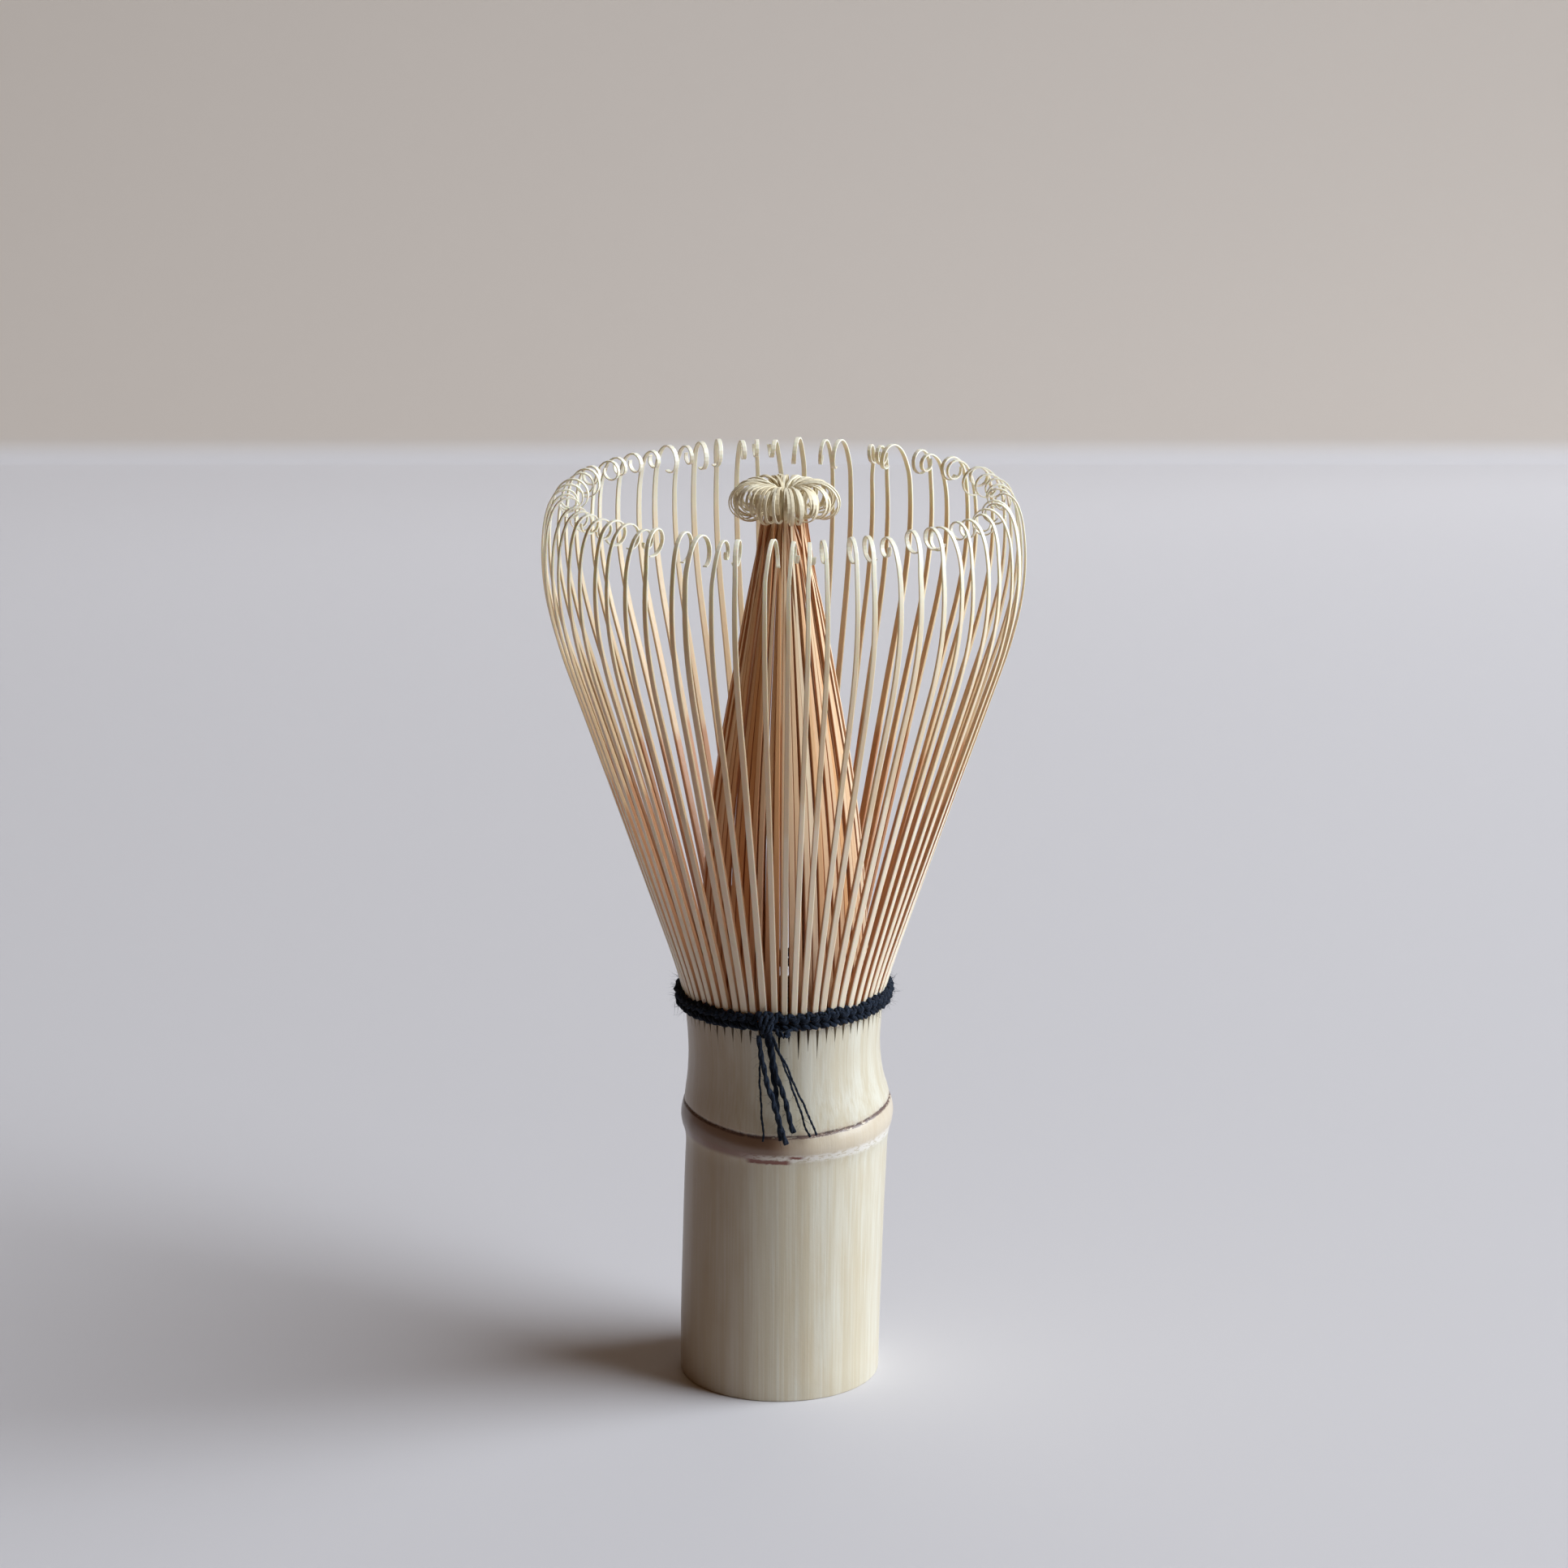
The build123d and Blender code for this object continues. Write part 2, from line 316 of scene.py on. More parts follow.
# The kerfs run down from the collar's top to different depths. Each is shut at its tip.
KERF_LENGTH = 1.5 * MM
KERF_LENGTH_SPREAD = 2.6 * MM
LONG_KERFS = (5, 20, 33, 47, 49, 51)
LONG_KERF_EXTRA = 1.6 * MM
KERF_HALF_WIDTH = 0.2 * MM
KERF_SEAM = 0.006 * MM
KERF_FLOOR = 9.75 * MM
KERF_STEEPNESS = 2.5
kerf_tips = []
for kerf in range(TINES):
    length = KERF_LENGTH + KERF_LENGTH_SPREAD * abs(noise.noise(Vector((kerf * 0.73, 4.1, 0.0))))
    if kerf in LONG_KERFS:
        length += LONG_KERF_EXTRA
    kerf_tips.append(COLLAR_TOP - length)

# The columns of points over one kerf, as (place across it, share of its depth), and between two.
KERF_COLUMNS = [(-1.0, 0.0), (-0.5, 1.0), (0.0, 1.0), (0.5, 1.0), (1.0, 0.0)]
LAND_COLUMNS = 5
# The scar's level and how far its tilt reaches up and down the culm, in millimetres.
SCAR_LEVEL = 35.0
SCAR_REACH = 2.6
SKIN_WANDER = 0.05 * MM
FLUTES = 23
FLUTE_DEPTH = 0.012 * MM
pitch = 2 * pi / TINES
culm_rows = []
culm_levels = []
culm_cuts = []
for height_mm, radius_mm in CULM_LINE:
    height = height_mm * MM
    row = []
    for kerf in range(TINES):
        centre = (kerf + 0.5) * pitch
        opened = max(0.0, height - kerf_tips[kerf])
        reach = COLLAR_TOP - kerf_tips[kerf]
        half_width = max(KERF_SEAM, KERF_HALF_WIDTH * opened / reach)
        start = half_width / (radius_mm * MM)
        columns = [(centre + across * start, sunk) for across, sunk in KERF_COLUMNS]
        for column in range(1, LAND_COLUMNS + 1):
            share = column / (LAND_COLUMNS + 1)
            columns.append((centre + start + (pitch - 2 * start) * share, 0.0))
        for angle, sunk in columns:
            askew = scar_tilt(angle) * exp(-((height_mm - SCAR_LEVEL) / SCAR_REACH) ** 2)
            wander = noise.noise(Vector((cos(angle) * 1.7, sin(angle) * 1.7, height_mm * 0.05)))
            radius = radius_mm * MM + SKIN_WANDER * wander
            radius += FLUTE_DEPTH * sin(FLUTES * angle + 1.3 * sin(height_mm * 0.05))
            radius -= min(radius - KERF_FLOOR, opened * KERF_STEEPNESS) * sunk
            shift = sideways(height_mm)
            row.append((shift + radius * cos(angle), radius * sin(angle), height + askew))
            culm_levels.append(height_mm)
            culm_cuts.append(sunk if opened > 0 else 0.0)
    culm_rows.append(row)

column_angles = [atan2(y, x) for x, y, _ in culm_rows[-1]]


def ring(radius, height, shift):
    """A level circle of points at the culm's column angles."""
    return [(shift + radius * cos(a), radius * sin(a), height) for a in column_angles]


BORE_RADIUS = 7.4 * MM
BORE_DEPTH = 30.5 * MM
COLLAR_HOLLOW = 9.4 * MM
HOLLOW_FLOOR = 33.5 * MM
INSIDE_EDGE = 1.0 * MM
BORE_EDGE = 1.2 * MM
FOOT_EDGE = 0.15 * MM
top_rings = [
    ring(COLLAR_HOLLOW, COLLAR_TOP, 0.0),
    ring(COLLAR_HOLLOW, HOLLOW_FLOOR + INSIDE_EDGE, 0.0),
    ring(COLLAR_HOLLOW - INSIDE_EDGE, HOLLOW_FLOOR, 0.0),
]
bore_shift = sideways(0) / 2
foot_rings = [
    ring(BORE_RADIUS - BORE_EDGE, BORE_DEPTH, bore_shift),
    ring(BORE_RADIUS, BORE_DEPTH - BORE_EDGE, bore_shift),
    ring(BORE_RADIUS, FOOT_EDGE, bore_shift),
    ring(BORE_RADIUS + FOOT_EDGE, 0.0, bore_shift),
]
culm_points = []
for row in foot_rings + culm_rows + top_rings:
    culm_points += row
across_count = len(culm_rows[0])
row_count = len(foot_rings + culm_rows + top_rings)
culm_faces = []
for row in range(row_count - 1):
    for column in range(across_count):
        beside = (column + 1) % across_count
        low, high = row * across_count, (row + 1) * across_count
        culm_faces.append((low + column, low + beside, high + beside, high + column))
for centre_point, first, turned in (
    ((bore_shift, 0.0, BORE_DEPTH), 0, True),
    ((0.0, 0.0, HOLLOW_FLOOR), (row_count - 1) * across_count, False),
):
    culm_points.append(centre_point)
    pole = len(culm_points) - 1
    for column in range(across_count):
        pair = (first + column, first + (column + 1) % across_count)
        culm_faces.append((pole, *(reversed(pair) if turned else pair)))
culm_mesh = bpy.data.meshes.new("culm")
culm_mesh.from_pydata(culm_points, [], culm_faces)
# The finish reads the bore as below the foot, and the collar's hollow as above its top.
BORE_LEVEL = -1.0
HOLLOW_LEVEL = 60.0
levels = [BORE_LEVEL] * (len(foot_rings) * across_count) + culm_levels
levels += [HOLLOW_LEVEL] * (len(culm_points) - len(levels))
cuts = [0.0] * (len(foot_rings) * across_count) + culm_cuts
cuts += [0.0] * (len(culm_points) - len(cuts))
for name, values in (("level", levels), ("cut", cuts)):
    culm_mesh.attributes.new(name, "FLOAT", "POINT").data.foreach_set("value", values)
culm_mesh.shade_smooth()
culm_mesh.set_sharp_from_angle(angle=radians(40))
culm = bpy.data.objects.new("culm", culm_mesh)
scene.collection.objects.link(culm)

SKIN_DULL = (0.53, 0.46, 0.325)
SKIN_PALE = (0.62, 0.585, 0.48)
SKIN_BLOTCH = (0.50, 0.39, 0.24)
SKIN_SHADE_BROWN = (0.32, 0.21, 0.115)
NODE_PINK = (0.58, 0.48, 0.355)
NODE_BROWN_AND_SHADE = (0.17, 0.085, 0.045)
NODE_RIM_BROWN_AND_SHADE = (0.20, 0.10, 0.07)
WAX_AND_HIGHLIGHT_WHITE = (0.80, 0.76, 0.70)
SCAR_DARK = (0.075, 0.035, 0.035)
SCAR_HALO = (0.40, 0.25, 0.17)
SCRATCH_RED = (0.17, 0.030, 0.014)
KERF_SHADE_BROWN = (0.16, 0.075, 0.045)
END_PALE = (0.52, 0.38, 0.22)
END_DARK = (0.33, 0.21, 0.12)
# Each scratch's left and right end, its height and its half width, in millimetres.
SCRATCHES = ((-5.0, 1.2, 31.7, 0.42), (0.1, 2.8, 32.4, 0.3))
culm_finish, tree, shader = new_finish("dried_culm_skin", 0.4)
place = put(tree, "ShaderNodeTexCoord").outputs["Object"]
in_mm = stretched(tree, place, (1000.0, 1000.0, 1000.0))
axes = put(tree, "ShaderNodeSeparateXYZ", {0: in_mm}).outputs
sideways_at = Value(tree, axes["X"])
forward = Value(tree, axes["Y"])
level = stored(tree, "level")
cut = stored(tree, "cut")
streak, fibre_height = add_fibres(tree, in_mm)
blotch = noise_at(tree, stretched(tree, in_mm, (0.22, 0.22, 0.12)), 1.0, 3.0)
fine = noise_at(tree, in_mm, 2.2, 4.0, 0.65)
crumbs = noise_at(tree, stretched(tree, in_mm, (1.4, 1.4, 4.0)), 1.0, 2.0)
colour = mixed(tree, between(streak, 0.38, 0.66), SKIN_DULL, SKIN_PALE)
colour = mixed(tree, between(blotch, 0.5, 0.72) * 0.22, colour, SKIN_BLOTCH)
# The −X side of the culm, away from the window, is painted browner and darker: painted shade.
painted_shade_side = between(sideways_at * -1 + blotch * 3, 2.0, 12.0)
colour = mixed(tree, painted_shade_side * 0.7, colour, SKIN_SHADE_BROWN)
# The swollen node is pinker between its two scar lines, and browner towards −X: partly its own weathered
# brown, partly painted shade on the side away from the window.
swollen = between(level, 31.6, 32.8) * (1 - between(level, 35.0, 35.15))
colour = mixed(tree, swollen * 0.75, colour, NODE_PINK)
weathered_and_shaded = swollen * between(sideways_at * -1 + blotch * 4, -2.5, 4.5)
colour = mixed(tree, weathered_and_shaded * 0.92, colour, NODE_BROWN_AND_SHADE)
# Under the swelling's lower edge, on the −X side, a dark brown rim: partly the node's own brown, partly
# painted shade under the ledge.
lower_edge = between(level, 31.5, 32.3) * (1 - between(level, 32.5, 33.2))
lower_rim_and_shade = lower_edge * between(sideways_at * -1 + fine * 3, 3.0, 6.0)
colour = mixed(tree, lower_rim_and_shade * 0.85, colour, NODE_RIM_BROWN_AND_SHADE)
# A pale line runs along the swelling's lower edge, broken in places and strongest towards +X: partly waxy
# bloom, partly a painted highlight where the window light falls.
wax_and_highlight_at = (level - 32.2 + (fine - 0.5) * 0.3).math("ABSOLUTE")
wax_and_highlight = (1 - between(wax_and_highlight_at, 0.2, 0.75)) * between(crumbs, 0.36, 0.5)
wax_and_highlight = wax_and_highlight * between(sideways_at + blotch * 4, -4.0, 3.0)
colour = mixed(tree, wax_and_highlight * 0.75, colour, WAX_AND_HIGHLIGHT_WHITE)
# The sheath's scar: a thin dark line, broken into dots where the sheath came away clean.
scar_at = (level - 35.12 + (fine - 0.5) * 0.35).math("ABSOLUTE")
scar = (1 - between(scar_at, 0.09, 0.32)) * between(crumbs, 0.33, 0.45)
colour = mixed(tree, scar * 0.92, colour, SCAR_DARK)
halo = (1 - between((level - 35.35).math("ABSOLUTE"), 0.1, 0.75)) * between(fine, 0.4, 0.62)
colour = mixed(tree, halo * 0.35, colour, SCAR_HALO)
# Two short reddish scratches under the node, at the front.
for first, last, middle, spread in SCRATCHES:
    within = between(sideways_at, first, first + 1.0) * (1 - between(sideways_at, last - 1.0, last))
    near = 1 - between((level - middle + (fine - 0.5) * 0.5).math("ABSOLUTE"), spread * 0.4, spread)
    facing = between(forward * -1, 8.0, 9.0)
    colour = mixed(tree, within * near * facing * 0.95, colour, SCRATCH_RED)
# The kerfs' walls are painted dark brown: painted shade in the narrow slits. The saw and knife left darker
# wood on the two cut ends.
colour = mixed(tree, cut * 0.85, colour, KERF_SHADE_BROWN)
end_grain = (1 - between(level, -0.4, 0.04)).math("MAXIMUM", between(level, 50.0, 59.0))
specks = between(noise_at(tree, in_mm, 3.5, 2.0), 0.48, 0.6)
wood = mixed(tree, specks, END_PALE, END_DARK)
colour = mixed(tree, end_grain, colour, wood)
tree.links.new(colour, shader.inputs["Base Color"])
rough = 0.34 + blotch * 0.16 + swollen * -0.06 + cut * 0.4
tree.links.new(rough.socket, shader.inputs["Roughness"])
shader.inputs["Coat Weight"].default_value = 0.35
shader.inputs["Coat Roughness"].default_value = 0.28
relief = fibre_height * 0.35 + fine * 0.25 + scar * -1.2
raise_surface(tree, shader, relief, 0.00012, 0.5)
culm_mesh.materials.append(culm_finish)
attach(culm, "handle")
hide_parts("handle_culm")

# ---------------------------------------------------------------------------------------------
# The tines: the culm's wall above the collar, split into sixteen ribs of four outer tines and
# four inner ones, each shaved thin and curled over hot water at its tip. A ring of them is one
# Geometry Nodes tree that draws each tine along a side-on line and leans it a little its own way.

RIBS = 16
TINES_PER_RIB = 4
OUTER_ROOT = (12.2 * MM, 48.3 * MM)
OUTER_ROOT_LEAN = 11.0
OUTER_RUNS = [
    (4.3 * MM, 16.5), (5.0 * MM, 18.6), (36.9 * MM, 18.9),
    (7.0 * MM, 12.0), (6.2 * MM, 1.0), (4.9 * MM, -9.0), (2.6 * MM, -24.0),
]
# The curl's runs, for four kinds of tine, curled between three quarters round and right round.
OUTER_CURLS = [
    [(2.1 * MM, -66), (2.0 * MM, -132), (2.0 * MM, -203), (1.9 * MM, -275), (1.6 * MM, -335)],
    [(2.0 * MM, -70), (1.8 * MM, -145), (1.7 * MM, -222), (1.6 * MM, -300), (1.5 * MM, -375)],
    [(2.2 * MM, -62), (2.1 * MM, -120), (2.1 * MM, -182), (1.7 * MM, -235), (1.5 * MM, -285)],
    [(1.9 * MM, -68), (1.7 * MM, -148), (1.6 * MM, -230), (1.5 * MM, -312), (1.4 * MM, -392)],
]
INNER_ROOT = (10.6 * MM, 48.2 * MM)
INNER_ROOT_LEAN = -1.0
INNER_CONE = [(14.8 * MM, -3.5), (9.5 * MM, -7.0), (10.5 * MM, -10.4), (14.5 * MM, -10.9)]
# Each layer of the bundle: its lean at the neck, its upright bend, and its run over the knob.
INNER_LAYERS = [
    (-8.0, 3.7 * MM, 0.9 * MM), (-17.5, 3.8 * MM, 2.4 * MM),
    (-13.0, 3.75 * MM, 1.7 * MM), (-22.0, 3.9 * MM, 3.0 * MM),
]
INNER_NECK = 12.2 * MM
INNER_CURLS = [
    [(2.5 * MM, 175), (2.2 * MM, 250), (1.2 * MM, 290)],
    [(3.0 * MM, 168), (2.6 * MM, 245), (1.8 * MM, 300)],
    [(2.1 * MM, 180), (1.9 * MM, 265), (1.5 * MM, 340)],
]
STATIONS_PER_RUN = 8
# Where along a tine its shoulder lies, where its tip starts to drift, and how long each lasts.
SHOULDER_AT = 0.76
DRIFT_FROM = 0.84
TIP_RUN = 0.16


def side_line(root, lean, runs):
    """Points down a face that turns evenly from lean to lean over each run: (radius, height)."""
    radius, height = root
    points = [(radius, height)]
    for length, end_lean in runs:
        for step in range(STATIONS_PER_RUN):
            heading = radians(lean + (end_lean - lean) * (step + 0.5) / STATIONS_PER_RUN)
            radius += sin(heading) * length / STATIONS_PER_RUN
            height += cos(heading) * length / STATIONS_PER_RUN
            points.append((radius, height))
        lean = end_lean
    return points


def profile_object(name, lines):
    """A helper curve with one straight-run spline for each side-on line."""
    curve = bpy.data.curves.new(name, "CURVE")
    curve.dimensions = "3D"
    for line in lines:
        spline = curve.splines.new("POLY")
        spline.points.add(len(line) - 1)
        for point, (radius, height) in zip(spline.points, line):
            point.co = (radius, 0.0, height, 1.0)
    helper = bpy.data.objects.new(name, curve)
    scene.collection.objects.link(helper)
    return helper


outer_lines = [side_line(OUTER_ROOT, OUTER_ROOT_LEAN, OUTER_RUNS + curl) for curl in OUTER_CURLS]
outer_profiles = profile_object("outer_profiles", outer_lines)
inner_lines = []
for curl in INNER_CURLS:
    for neck_lean, bend, over in INNER_LAYERS:
        knob = [(INNER_NECK, neck_lean), (bend, 0.0), (1.5 * MM, 65.0), (over, 100.0)]
        inner_lines.append(side_line(INNER_ROOT, INNER_ROOT_LEAN, INNER_CONE + knob + curl))
inner_profiles = profile_object("inner_profiles", inner_lines)


def random_value(tree, low, high, number, seed, salt):
    """A random number for each item, from its own number, the tree's seed and a salt."""
    node = put(tree, "FunctionNodeRandomValue", data_type="FLOAT")
    node.inputs[2].default_value = low
    node.inputs[3].default_value = high
    tree.links.new(number.socket, node.inputs["ID"])
    tree.links.new((seed + salt).socket, node.inputs["Seed"])
    return Value(tree, node.outputs[1])


def tine_ring_tree():
    """Some tines of a ring, each a tapered strip drawn along one of the profile's splines."""
    tree = bpy.data.node_groups.new("tine ring", "GeometryNodeTree")
    tree.interface.new_socket("Geometry", in_out="INPUT", socket_type="NodeSocketGeometry")
    floats = (
        "Ring Count", "Root Width", "Shoulder Width", "Tip Width", "Root Thickness",
        "Tip Thickness", "Spacing Spread", "Sideways Spread", "Flare Spread", "Curl Drift", "Fill",
        "Front Drop",
    )
    tree.interface.new_socket("Profiles", in_out="INPUT", socket_type="NodeSocketObject")
    for name in ("First Tine", "Tine Count", "Layers", "Kinds", "Seed"):
        tree.interface.new_socket(name, in_out="INPUT", socket_type="NodeSocketInt")
    for name in floats:
        tree.interface.new_socket(name, in_out="INPUT", socket_type="NodeSocketFloat")
    tree.interface.new_socket("Material", in_out="INPUT", socket_type="NodeSocketMaterial")
    tree.interface.new_socket("Geometry", in_out="OUTPUT", socket_type="NodeSocketGeometry")
    given = tree.nodes.new("NodeGroupInput").outputs
    size = {name: Value(tree, given[name]) for name in floats}
    seed = Value(tree, given["Seed"])

    blank = put(tree, "GeometryNodeMeshCylinder", {
        "Vertices": 8, "Side Segments": 72, "Fill Segments": 1, "Radius": 1.0, "Depth": 1.0,
    }, fill_type="NGON")
    points = put(tree, "GeometryNodePoints", {"Count": given["Tine Count"]})
    placed = put(tree, "GeometryNodeInstanceOnPoints", {
        "Points": points.outputs[0], "Instance": blank.outputs["Mesh"],
    })
    index = Value(tree, put(tree, "GeometryNodeInputIndex").outputs[0])
    number = index + Value(tree, given["First Tine"])
    numbered = put(tree, "GeometryNodeStoreNamedAttribute", {
        "Geometry": placed.outputs[0], "Name": "tine", "Value": number,
    }, data_type="FLOAT", domain="INSTANCE")
    strips = put(tree, "GeometryNodeRealizeInstances", {"Geometry": numbered.outputs[0]})

    tine = put(tree, "GeometryNodeInputNamedAttribute", {"Name": "tine"}, data_type="FLOAT")
    tine = Value(tree, tine.outputs[0])
    place = put(tree, "GeometryNodeInputPosition")
    turned = put(tree, "ShaderNodeVectorRotate", {
        "Vector": place.outputs[0], "Angle": pi / 8,
    }, rotation_type="Z_AXIS")
    corner = put(tree, "ShaderNodeSeparateXYZ", {0: turned.outputs[0]}).outputs

    def squared(axis):
        """An axis of the round blank, pushed out to the sides of a square one."""
        value = Value(tree, axis)
        return value.math("ABSOLUTE") ** 0.3 * value.math("SIGN")

    across = squared(corner["X"])
    through = squared(corner["Y"])
    rows = Value(tree, corner["Z"]) + 0.5
    along = 1 - (1 - rows).math("MAXIMUM", 0.0) ** 1.7

    layers = Value(tree, given["Layers"])
    layer = tine.math("MODULO", layers)
    kinds = []
    for salt in (11, 12):
        kind = (random_value(tree, 0.0, 0.999, tine, seed, salt) * Value(tree, given["Kinds"]))
        kinds.append(layer + kind.math("FLOOR") * layers)
    profiles = put(tree, "GeometryNodeObjectInfo", {"Object": given["Profiles"]})
    samples = []
    for which in kinds:
        sample = put(tree, "GeometryNodeSampleCurve", {
            "Curves": profiles.outputs["Geometry"], "Factor": along, "Curve Index": which,
        }, mode="FACTOR", use_all_curves=False)
        samples.append(sample)
    share = random_value(tree, 0.0, 1.0, tine, seed, 13)
    line = put(tree, "ShaderNodeMix", data_type="VECTOR")
    heading = put(tree, "ShaderNodeMix", data_type="VECTOR")
    for mix, output in ((line, "Position"), (heading, "Tangent")):
        tree.links.new(share.socket, mix.inputs[0])
        tree.links.new(samples[0].outputs[output], mix.inputs[4])
        tree.links.new(samples[1].outputs[output], mix.inputs[5])
    heading = put(tree, "ShaderNodeVectorMath", {0: heading.outputs[1]}, operation="NORMALIZE")
    line = put(tree, "ShaderNodeSeparateXYZ", {0: line.outputs[1]}).outputs
    heading = put(tree, "ShaderNodeSeparateXYZ", {0: heading.outputs[0]}).outputs
    radius = Value(tree, line["X"])
    height = Value(tree, line["Z"])
    out = Value(tree, heading["X"])
    up = Value(tree, heading["Z"])

    thickness = size["Root Thickness"] + (size["Tip Thickness"] - size["Root Thickness"]) * along
    lower = (along * (1 / SHOULDER_AT)).math("MINIMUM", 1.0)
    upper = ((along - SHOULDER_AT) * (1 / TIP_RUN)).math("MAXIMUM", 0.0).math("MINIMUM", 1.0)
    width = size["Root Width"] + (size["Shoulder Width"] - size["Root Width"]) * lower
    width = width + (size["Tip Width"] - size["Shoulder Width"]) * upper
    step_width = radius * (2 * pi) / size["Ring Count"] * size["Fill"]
    width = width * random_value(tree, 0.86, 1.14, tine, seed, 25)
    width = width.math("MINIMUM", step_width.math("MAXIMUM", size["Tip Width"] * 0.75))
    depth = thickness * (through * 0.5 + 0.5)
    rise = (height - COLLAR_TOP).math("MAXIMUM", 0.0)
    flare = random_value(tree, -1.0, 1.0, tine, seed, 21) * size["Flare Spread"]
    lean = random_value(tree, -1.0, 1.0, tine, seed, 22) * size["Sideways Spread"]
    drift = random_value(tree, -1.0, 1.0, tine, seed, 23) * size["Curl Drift"]
    tip = ((along - DRIFT_FROM) * (1 / TIP_RUN)).math("MAXIMUM", 0.0)
    stand = radius - up * depth + flare * rise
    side = across * width * 0.5 + lean * rise + drift * tip
    facing_front = (tine * (2 * pi) / size["Ring Count"]).math("SINE") * -0.5 + 0.5
    level = height + out * depth - size["Front Drop"] * facing_front * along
    local = put(tree, "ShaderNodeCombineXYZ", {"X": stand, "Y": side, "Z": level})
    spacing = random_value(tree, -1.0, 1.0, tine, seed, 24) * size["Spacing Spread"]
    angle = (tine + spacing) * (2 * pi) / size["Ring Count"]
    swung = put(tree, "ShaderNodeVectorRotate", {
        "Vector": local.outputs[0], "Angle": angle,
    }, rotation_type="Z_AXIS")
    kept = strips
    for name, value in (("along", along), ("through", through), ("across", across)):
        kept = put(tree, "GeometryNodeStoreNamedAttribute", {
            "Geometry": kept.outputs[0], "Name": name, "Value": value,
        }, data_type="FLOAT", domain="POINT")
    shaped = put(tree, "GeometryNodeSetPosition", {
        "Geometry": kept.outputs[0], "Position": swung.outputs[0],
    })
    edge = put(tree, "GeometryNodeInputMeshEdgeAngle")
    gentle = Value(tree, edge.outputs[0]).math("LESS_THAN", radians(32))
    smooth = put(tree, "GeometryNodeSetShadeSmooth", {
        "Geometry": shaped.outputs[0], "Shade Smooth": gentle,
    }, domain="EDGE")
    finished = put(tree, "GeometryNodeSetMaterial", {
        "Geometry": smooth.outputs[0], "Material": given["Material"],
    })
    result = tree.nodes.new("NodeGroupOutput")
    tree.links.new(finished.outputs[0], result.inputs[0])
    return tree


def grow(name, tree, values, start=None):
    """The plain mesh a Geometry Nodes tree makes of a start object, or of nothing, as an object."""
    if start is None:
        start = bpy.data.objects.new(name + "_nodes", bpy.data.meshes.new(name + "_nodes"))
        scene.collection.objects.link(start)
    modifier = start.modifiers.new("grow", "NODES")
    modifier.node_group = tree
    for socket in tree.interface.items_tree:
        if socket.in_out == "INPUT" and socket.name in values:
            modifier[socket.identifier] = values[socket.name]
    seen = start.evaluated_get(bpy.context.evaluated_depsgraph_get())
    mesh = bpy.data.meshes.new_from_object(seen)
    mesh.name = name
    start.modifiers.remove(modifier)
    bpy.data.objects.remove(start)
    piece = bpy.data.objects.new(name, mesh)
    scene.collection.objects.link(piece)
    return piece


tine_ring = tine_ring_tree()


def tine_place(tree):
    """A place that runs with each tine: across it, through it, and along it, in millimetres."""
    along = stored(tree, "along") * 85
    across = stored(tree, "across") * 0.4 + stored(tree, "tine") * 7.3
    joined = put(tree, "ShaderNodeCombineXYZ", {"X": across, "Y": stored(tree, "through"), "Z": along})
    return joined.outputs[0]


def of_tine(tree, salt):
    """A number from 0 to 1 that is each tine's own."""
    node = put(tree, "ShaderNodeTexWhiteNoise", {"W": stored(tree, "tine").math("ROUND") + salt},
               noise_dimensions="1D")
    return Value(tree, node.outputs[0])


OUTER_FACE = (0.86, 0.74, 0.57)
OUTER_FACE_SHAVED = (0.79, 0.63, 0.43)
OUTER_SIDE = (0.56, 0.29, 0.145)
OUTER_SIDE_SHAVED = (0.72, 0.53, 0.32)
OUTER_TAN = (0.58, 0.42, 0.25)
OUTER_STREAK = (0.50, 0.34, 0.19)
OUTER_UPPER = (0.87, 0.76, 0.57)
OUTER_TIP = (0.94, 0.87, 0.70)
outer_finish, tree, shader = new_finish("shaved_outer_tine", 0.42)
place = put(tree, "ShaderNodeTexCoord").outputs["Object"]
height = Value(tree, put(tree, "ShaderNodeSeparateXYZ", {0: place}).outputs["Z"]) * 1000
streak, fibre_height = add_fibres(tree, tine_place(tree))
own = of_tine(tree, 0.3)
skin = 1 - between(stored(tree, "through"), -0.8, -0.55)
knife_line = height + (own * 2 - 1) * 2.6 + (streak - 0.5) * 3
shaved = between(knife_line, 77.0, 79.0)
face = mixed(tree, shaved, OUTER_FACE, OUTER_FACE_SHAVED)
side = mixed(tree, shaved, OUTER_SIDE, OUTER_SIDE_SHAVED)
colour = mixed(tree, skin, side, face)
colour = mixed(tree, between(own, 0.3, 0.9) * 0.2, colour, OUTER_TAN)
colour = mixed(tree, between(streak, 0.5, 0.7) * 0.2, colour, OUTER_STREAK)
colour = mixed(tree, between(height, 84.0, 104.0) * 0.6, colour, OUTER_UPPER)
colour = mixed(tree, between(height, 101.0, 110.0) * 0.9, colour, OUTER_TIP)
tree.links.new(colour, shader.inputs["Base Color"])
shader.inputs["Coat Weight"].default_value = 0.15
shader.inputs["Subsurface Weight"].default_value = 0.4
shader.inputs["Subsurface Radius"].default_value = (1.0, 0.7, 0.4)
shader.inputs["Subsurface Scale"].default_value = 0.0006
raise_surface(tree, shader, fibre_height, 0.00005, 0.4)

